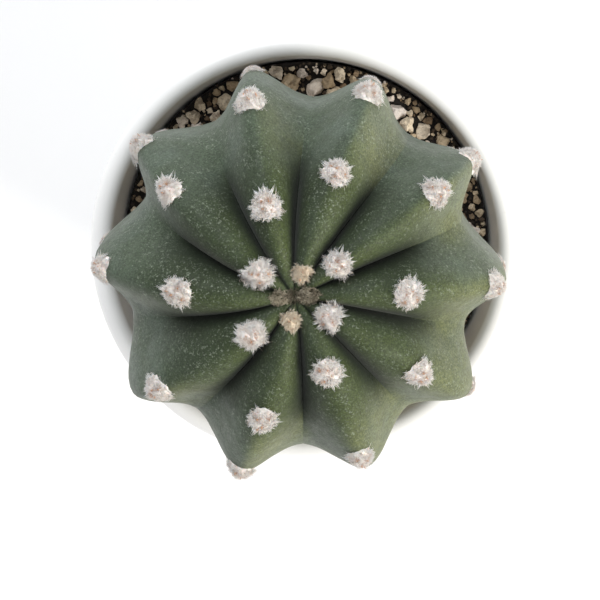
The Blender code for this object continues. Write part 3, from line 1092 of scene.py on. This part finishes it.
# Clumps of old wool in the apex dip: centre, half sizes and height in
# millimetres, number of locks, and the darkest and palest tone.
WOOL_CLUMPS = (
    ((-2.55, 0.05), (1.40, 1.10), 0.85, 56, (0.62, 1.0)),
    ((2.20, 0.55), (1.70, 1.25), 0.85, 66, (0.45, 0.95)),
    ((-0.10, 0.30), (1.70, 1.00), 0.40, 40, (0.05, 0.62)),
)
CLUMP_BASE = 0.15
CLUMP_LOCK_LENGTH = (0.45, 0.95)
CLUMP_HAIR_WIDTH = (0.06, 0.09)


def make_apex_wool(surface, old_wool):
    """Matted wool in the apex dip: two paler clumps with a dark one between."""
    dice = random.Random(77)
    fleece = Fleece()
    for centre, half_sizes, height, locks, tones in WOOL_CLUMPS:
        for lock in range(locks):
            share = math.sqrt((lock + 0.5) / locks)
            aim = level_aim(lock * TURN_PER_LOCK)
            base = Vector((aim.x * half_sizes[0], aim.y * half_sizes[1], 0.0)) * share
            base += Vector((*centre, CLUMP_BASE + height * (1 - share ** 2)))
            lean = aim * share + Vector((dice.gauss(0, 0.5), dice.gauss(0, 0.5), 0.8))
            point = base + lean.normalized() * dice.uniform(*CLUMP_LOCK_LENGTH)
            tone = lerp(*tones, dice.random())
            for _ in range(HAIRS_PER_LOCK):
                root = (base + stray(dice, 0.24, 0.05)) * MM
                tip = (point + stray(dice, 0.15, 0.10)) * MM
                sag = stray(dice, 0.12, 0.06) * MM
                width = any_width(dice, CLUMP_HAIR_WIDTH)
                hair_tone = min(max(tone + dice.gauss(0, 0.14), 0.0), 1.0)
                fleece.add_hair(root, tip, sag, width, hair_tone)
    place = Vector((0, 0, crest_outline(0.0)[1]))
    axes = (place, Vector((1, 0, 0)), Vector((0, 1, 0)), Vector((0, 0, 1)))
    piece = lay_fleece("wool_apex", fleece, surface, axes, (0.0, False, 1.0, 1.0), (old_wool,))
    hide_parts("apex_wool")


# --------------------------------------------------------------- pot and soil

def turn_outline(name, outline, sides):
    """Start from a circle and extrude it from point to point of an outline."""
    let_go()
    radius, height = outline[0]
    bpy.ops.mesh.primitive_circle_add(vertices=sides, radius=radius, location=(0, 0, height))
    piece = call_it(name)
    settle(piece)
    edit_all()
    for (radius, height), (new_radius, new_height) in zip(outline, outline[1:]):
        rise = (0, 0, new_height - height)
        bpy.ops.mesh.extrude_edges_move(TRANSFORM_OT_translate={"value": rise})
        growth = new_radius / radius
        bpy.ops.transform.resize(value=(growth, growth, 1), center_override=(0, 0, new_height))
    bpy.ops.mesh.select_all(action="DESELECT")
    bpy.ops.mesh.select_mode(type="EDGE")
    leave_edit()
    last = sides * (len(outline) - 1)
    for edge in piece.data.edges:
        edge.select = max(edge.vertices) < sides or min(edge.vertices) >= last
    bpy.ops.object.mode_set(mode="EDIT")
    bpy.ops.mesh.bridge_edge_loops()
    bpy.ops.mesh.select_all(action="SELECT")
    bpy.ops.mesh.normals_make_consistent(inside=False)
    leave_edit()
    return piece


POT_SIDES = 160
LIP_STEPS = 10
POT_MOUTH_RADIUS = 36 * MM
POT_SHARP_ANGLE = math.radians(50)
# The CAD pot's section with rounder edges, each point a radius and a height in
# millimetres: from the drain hole under the foot to the wall, and the floor.
FOOT_SECTION = (
    (5.0, 5.5), (5.0, 2.5), (5.5, 2.0), (24.1, 2.0), (25.1, 1.5), (25.5, 0.3),
    (25.8, 0.0), (29.7, 0.0), (30.2, 0.25), (30.8, 0.9), (31.05, 1.7),
)
FLOOR_SECTION = ((27.5, 8.4), (26.6, 6.7), (24.8, 6.0), (5.5, 6.0))


def lip_points():
    """Half a circle over the wall, from outside to inside."""
    thickness = (POT_RIM_RADIUS - POT_MOUTH_RADIUS) / 2
    centre = (POT_RIM_RADIUS + POT_MOUTH_RADIUS) / 2
    for step in range(LIP_STEPS + 1):
        turn = math.pi * step / LIP_STEPS
        radius = centre + thickness * math.cos(turn)
        yield radius, POT_HEIGHT + thickness * (math.sin(turn) - 1)


def make_pot(finish):
    outline = [(radius * MM, height * MM) for radius, height in FOOT_SECTION]
    outline += lip_points()
    outline += [(radius * MM, height * MM) for radius, height in FLOOR_SECTION]
    pot = turn_outline("glazed_pot", outline, POT_SIDES)
    take(pot)
    bpy.ops.object.shade_smooth_by_angle(angle=POT_SHARP_ANGLE)
    pot.data.materials.append(finish)
    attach(pot, "root")
    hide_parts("pot")


CRUST_SIDES = 300
CRUST_RINGS = 34
CRUST_INNER_RADIUS = NECK_RADIUS - 0.6 * MM
CRUST_OUTER_RADIUS = SOIL_RADIUS - 0.1 * MM
CRUST_FOOT = SOIL_LEVEL - 0.4 * MM
CRUST_TOP = SOIL_LEVEL + 0.45 * MM
# Lumps, crumbs and grains: scale, height and shift of the noise.
CRUST_RELIEF = ((150, 0.45, (0, 0, 0)), (480, 0.40, (3, 1, 5)), (1100, 0.22, (7, 2, 9)))


def crust_height(x, y):
    """Uneven top of the peat: lumps, crumbs and a dip here and there."""
    place = Vector((x, y, 0.0))
    height = CRUST_TOP
    for scale, depth, shift in CRUST_RELIEF:
        height += noise.noise(place * scale + Vector(shift)) * depth * MM
    return height


def make_crust(finish):
    """The loose top of the soil, a thin ring between the neck and the pot."""
    outline = [(CRUST_INNER_RADIUS, CRUST_FOOT)]
    for ring in range(CRUST_RINGS):
        radius = lerp(CRUST_INNER_RADIUS, CRUST_OUTER_RADIUS, ring / (CRUST_RINGS - 1))
        outline.append((radius, CRUST_TOP))
    outline.append((CRUST_OUTER_RADIUS, CRUST_FOOT))
    crust = turn_outline("soil_crust", outline, CRUST_SIDES)
    for corner in crust.data.vertices:
        if corner.co.z > SOIL_LEVEL:
            corner.co.z = crust_height(corner.co.x, corner.co.y)
    crust.data.update()
    smooth_faces(crust)
    crust.data.materials.append(finish)
    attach(crust, "root")


STONE_CHIPS = 11
CHIP_REACH = (0.26, 0.40)
CHIP_SHARE = 0.95
STONE_NARROWNESS = (0.72, 0.92)
# Lumps and small bumps: scale of the noise and share of the roughness.
STONE_RELIEF = ((3.2, 1.0), (9, 0.4))


def model_stone(name, cuts, seed, flatness, roughness):
    """One stone of size 1: a ball cut flat on many sides and roughened."""
    dice = random.Random(seed)
    let_go()
    bpy.ops.mesh.primitive_ico_sphere_add(subdivisions=cuts, radius=0.5)
    stone = call_it(name)
    edit_all()
    shape = (1, dice.uniform(*STONE_NARROWNESS), flatness)
    bpy.ops.transform.resize(value=shape, center_override=(0, 0, 0))
    leave_edit()
    shift = some_way(dice, 50)
    chips = []
    for _ in range(STONE_CHIPS):
        normal = stray(dice, 1.0, 1.0).normalized()
        chips.append((normal, dice.uniform(*CHIP_REACH)))
    for corner in stone.data.vertices:
        for normal, limit in chips:
            proud = corner.co.dot(normal) - limit
            if proud > 0:
                corner.co -= normal * proud * CHIP_SHARE
        for scale, share in STONE_RELIEF:
            corner.co *= 1 + share * roughness * noise.noise(corner.co * scale + shift)
    return stone


# Tones run from 0, near black, to 1, pinkish white.
PEBBLE_TONES = (0.97, 0.80, 0.55, 0.86, 0.62, 0.74, 0.78, 0.42, 0.70, 0.58, 0.84, 0.66, 0.52)
PEBBLE_GROWTH = 1.08
PEBBLE_TILT = 0.15


def make_pebbles(finish):
    """A finer stone in the place of each CAD pebble."""
    dice = random.Random(19)
    for order, tone in enumerate(PEBBLE_TONES):
        node = f"pebble_{order + 1:02d}"
        low, high = (Vector(corner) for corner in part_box(node))
        size = max(high.x - low.x, high.y - low.y) * PEBBLE_GROWTH
        name = f"stone_{order + 1:02d}"
        stone = model_stone(name, cuts=5, seed=100 + order, flatness=0.74, roughness=0.22)
        stone.scale = (size, size, size)
        tilt = (dice.gauss(0, PEBBLE_TILT), dice.gauss(0, PEBBLE_TILT))
        stone.rotation_euler = (*tilt, dice.uniform(0, math.tau))
        stone.location = (low + high) / 2
        settle(stone)
        smooth_faces(stone)
        add_numbers(stone.data, "tone", [tone] * len(stone.data.vertices))
        stone.data.materials.append(finish)
        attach(stone, "root")
        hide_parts(node)


def stone_pattern(cuts, seed):
    """Points and faces of a rough grain."""
    return keep_shape(model_stone("stone_pattern", cuts, seed, flatness=0.8, roughness=0.7))


SMALL_GRAIN = 1.2
SMALLER_POWER = 1.5
GRIT_INNER_RADIUS = NECK_RADIUS + 0.8 * MM
GRIT_OUTER_RADIUS = SOIL_RADIUS - 0.2 * MM
GRIT_EDGE = CRUST_OUTER_RADIUS + 0.2 * MM
TRIES_PER_GRAIN = 14
CLOSENESS = 0.40
GRAIN_RISE = 0.4
GRAIN_TILT = 0.5


def scatter(taken, name, patterns, wanted, sizes, tones, sink, looks, seed):
    """Strew copies of a few grains over the crust, clear of larger ones.

    Sizes are in millimetres. Taken lists the place and size of each grain
    that keeps others off, and grows with each one that isn't small.
    """
    dice = random.Random(seed)
    points, faces, tone_values = [], [], []
    count = 0
    placed = 0
    for _ in range(wanted * TRIES_PER_GRAIN):
        if placed == wanted:
            break
        size = lerp(*sizes, dice.random() ** SMALLER_POWER) * MM
        radius = math.sqrt(dice.uniform(GRIT_INNER_RADIUS ** 2, GRIT_OUTER_RADIUS ** 2))
        if radius + size / 2 > GRIT_EDGE:
            continue
        x, y, _ = level_aim(dice.uniform(0, math.tau)) * radius
        if any((x - a) ** 2 + (y - b) ** 2 < (CLOSENESS * (size + c)) ** 2 for a, b, c in taken):
            continue
        if sizes[1] > SMALL_GRAIN:
            taken.append((x, y, size))
        pattern, pattern_faces = dice.choice(patterns)
        spin = Matrix.Rotation(dice.uniform(0, math.tau), 3, "Z")
        for axis in "XY":
            spin = spin @ Matrix.Rotation(dice.gauss(0, GRAIN_TILT), 3, axis)
        lift = crust_height(x, y) + size * (GRAIN_RISE - sink)
        local = (pattern * size) @ np.array(spin).T + np.array((x, y, lift))
        points.append(local)
        faces.extend(tuple(corner + count for corner in face) for face in pattern_faces)
        tone_values.extend([lerp(*tones, dice.random())] * len(local))
        count += len(local)
        placed += 1
    piece = piece_from(name, np.concatenate(points), faces)
    add_numbers(piece.data, "tone", tone_values)
    finish, slot = looks
    piece.data.materials.append(finish)
    piece.data.update()
    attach(piece, "root")


def make_grit(stone_finish):
    """Grit of three sizes and dark crumbs of peat over the crust."""
    taken = []
    for order in range(len(PEBBLE_TONES)):
        low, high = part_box(f"pebble_{order + 1:02d}")
        centre = ((low[0] + high[0]) / 2, (low[1] + high[1]) / 2)
        taken.append((*centre, high[0] - low[0]))
    coarse = [stone_pattern(3, seed) for seed in range(201, 207)]
    fine = [stone_pattern(2, seed) for seed in range(211, 215)]
    stone = (stone_finish, "pale_grit")
    crumb = (stone_finish, "potting_soil")
    # Name, patterns, number, sizes, tones, share sunk in, looks and seed.
    strewn = (
        ("grit_coarse", coarse, 170, (2.4, 4.4), (0.42, 1.0), 0.20, stone, 51),
        ("grit_medium", fine, 420, (1.2, 2.6), (0.12, 0.98), 0.15, stone, 52),
        ("grit_fine", fine, 420, (0.5, 1.1), (0.20, 0.95), 0.10, stone, 53),
        ("peat_crumbs", fine, 800, (0.6, 1.9), (0.0, 0.08), 0.12, crumb, 54),
    )
    for row in strewn:
        scatter(taken, *row)


# ----------------------------------------------------------- studio and camera

FLOOR_SIZE = 4.0
SKY_COLOUR = (0.99, 0.99, 1.0, 1.0)
SKY_STRENGTH = 0.71
# Each softbox: its name, place, size, power and colour.
SOFTBOXES = (
    ("warm_key", (0.60, -0.30, 0.56), 0.36, 5.5, (1.0, 0.96, 0.88)),
    ("cool_fill", (-0.18, 0.68, 0.62), 0.60, 4.5, (0.94, 0.97, 1.0)),
)


def make_studio(finish):
    let_go()
    bpy.ops.mesh.primitive_plane_add(size=FLOOR_SIZE, location=(0, 0, 0))
    floor = call_it("studio_floor")
    floor.data.materials.append(finish)
    world = bpy.data.worlds.new("studio_air")
    world.use_nodes = True
    sky = world.node_tree.nodes["Background"]
    sky.inputs["Color"].default_value = SKY_COLOUR
    sky.inputs["Strength"].default_value = SKY_STRENGTH
    bpy.context.scene.world = world
    for softbox in SOFTBOXES:
        add_softbox(*softbox)


def add_softbox(name, place, size, power, colour):
    """A square lamp that faces the middle of the plant."""
    bpy.ops.object.light_add(type="AREA", location=place)
    lamp = bpy.context.object
    lamp.name = name
    lamp.data.shape = "SQUARE"
    lamp.data.size = size
    lamp.data.energy = power
    lamp.data.color = colour
    aim = Vector((0, 0, EQUATOR_HEIGHT)) - Vector(place)
    lamp.rotation_euler = aim.to_track_quat("-Z", "Y").to_euler()


CAMERA_LEAN_BACK = math.radians(10.17)
CAMERA_LEAN_SIDE = math.radians(1.91)
CAMERA_DISTANCE = 420 * MM
CAMERA_LENS = 143.3
SENSOR_WIDTH = 36.0
AIM_BELOW = 4.6 * MM


def camera_axes(back):
    """Right and up in the picture, for a direction from the aim to the camera."""
    right = Vector((0, 1, 0)).cross(back).normalized()
    return right, back.cross(right)


def make_camera():
    """Nearly overhead, with +Y up in the picture."""
    level = math.sin(CAMERA_LEAN_SIDE), math.sin(CAMERA_LEAN_BACK)
    back = Vector((*level, math.sqrt(1 - level[0] ** 2 - level[1] ** 2)))
    centre = Vector((0, 0, EQUATOR_HEIGHT))
    eye = centre + back * CAMERA_DISTANCE
    aim = centre - camera_axes(back)[1] * AIM_BELOW
    back = (eye - aim).normalized()
    right, up = camera_axes(back)
    bpy.ops.object.camera_add()
    camera = bpy.context.object
    camera.name = "camera"
    turn = Matrix((right, up, back)).transposed()
    camera.matrix_world = Matrix.Translation(eye) @ turn.to_4x4()
    camera.data.lens = CAMERA_LENS
    camera.data.sensor_width = SENSOR_WIDTH
    bpy.context.scene.camera = camera


def surface_of(piece):
    mesh = piece.data
    corners = [corner.co.copy() for corner in mesh.vertices]
    return BVHTree.FromPolygons(corners, [tuple(face.vertices) for face in mesh.polygons])


def finish_cad_soil(finish):
    """The CAD soil stays: it shows through the drain hole."""
    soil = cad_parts["soil"]
    soil.data.materials.clear()
    soil.data.materials.append(finish)


def main():
    bpy.context.scene.view_settings.view_transform = "Standard"
    wool = new_wool("cream_wool", (1.0, 0.975, 0.95), (0.62, 0.38, 0.27))
    young_wool = new_wool("young_wool", (0.80, 0.70, 0.55), (0.42, 0.29, 0.19))
    earth = peat()
    stone = grit_stone()
    skin = make_skin(waxy_skin())
    surface = surface_of(skin)
    make_tufts(surface, wool, young_wool, spine_horn())
    make_apex_wool(surface, dark_wool())
    make_pot(white_glaze())
    finish_cad_soil(earth)
    make_crust(earth)
    make_pebbles(stone)
    make_grit(stone)
    make_studio(studio_floor())
    make_camera()


main()
let_go()
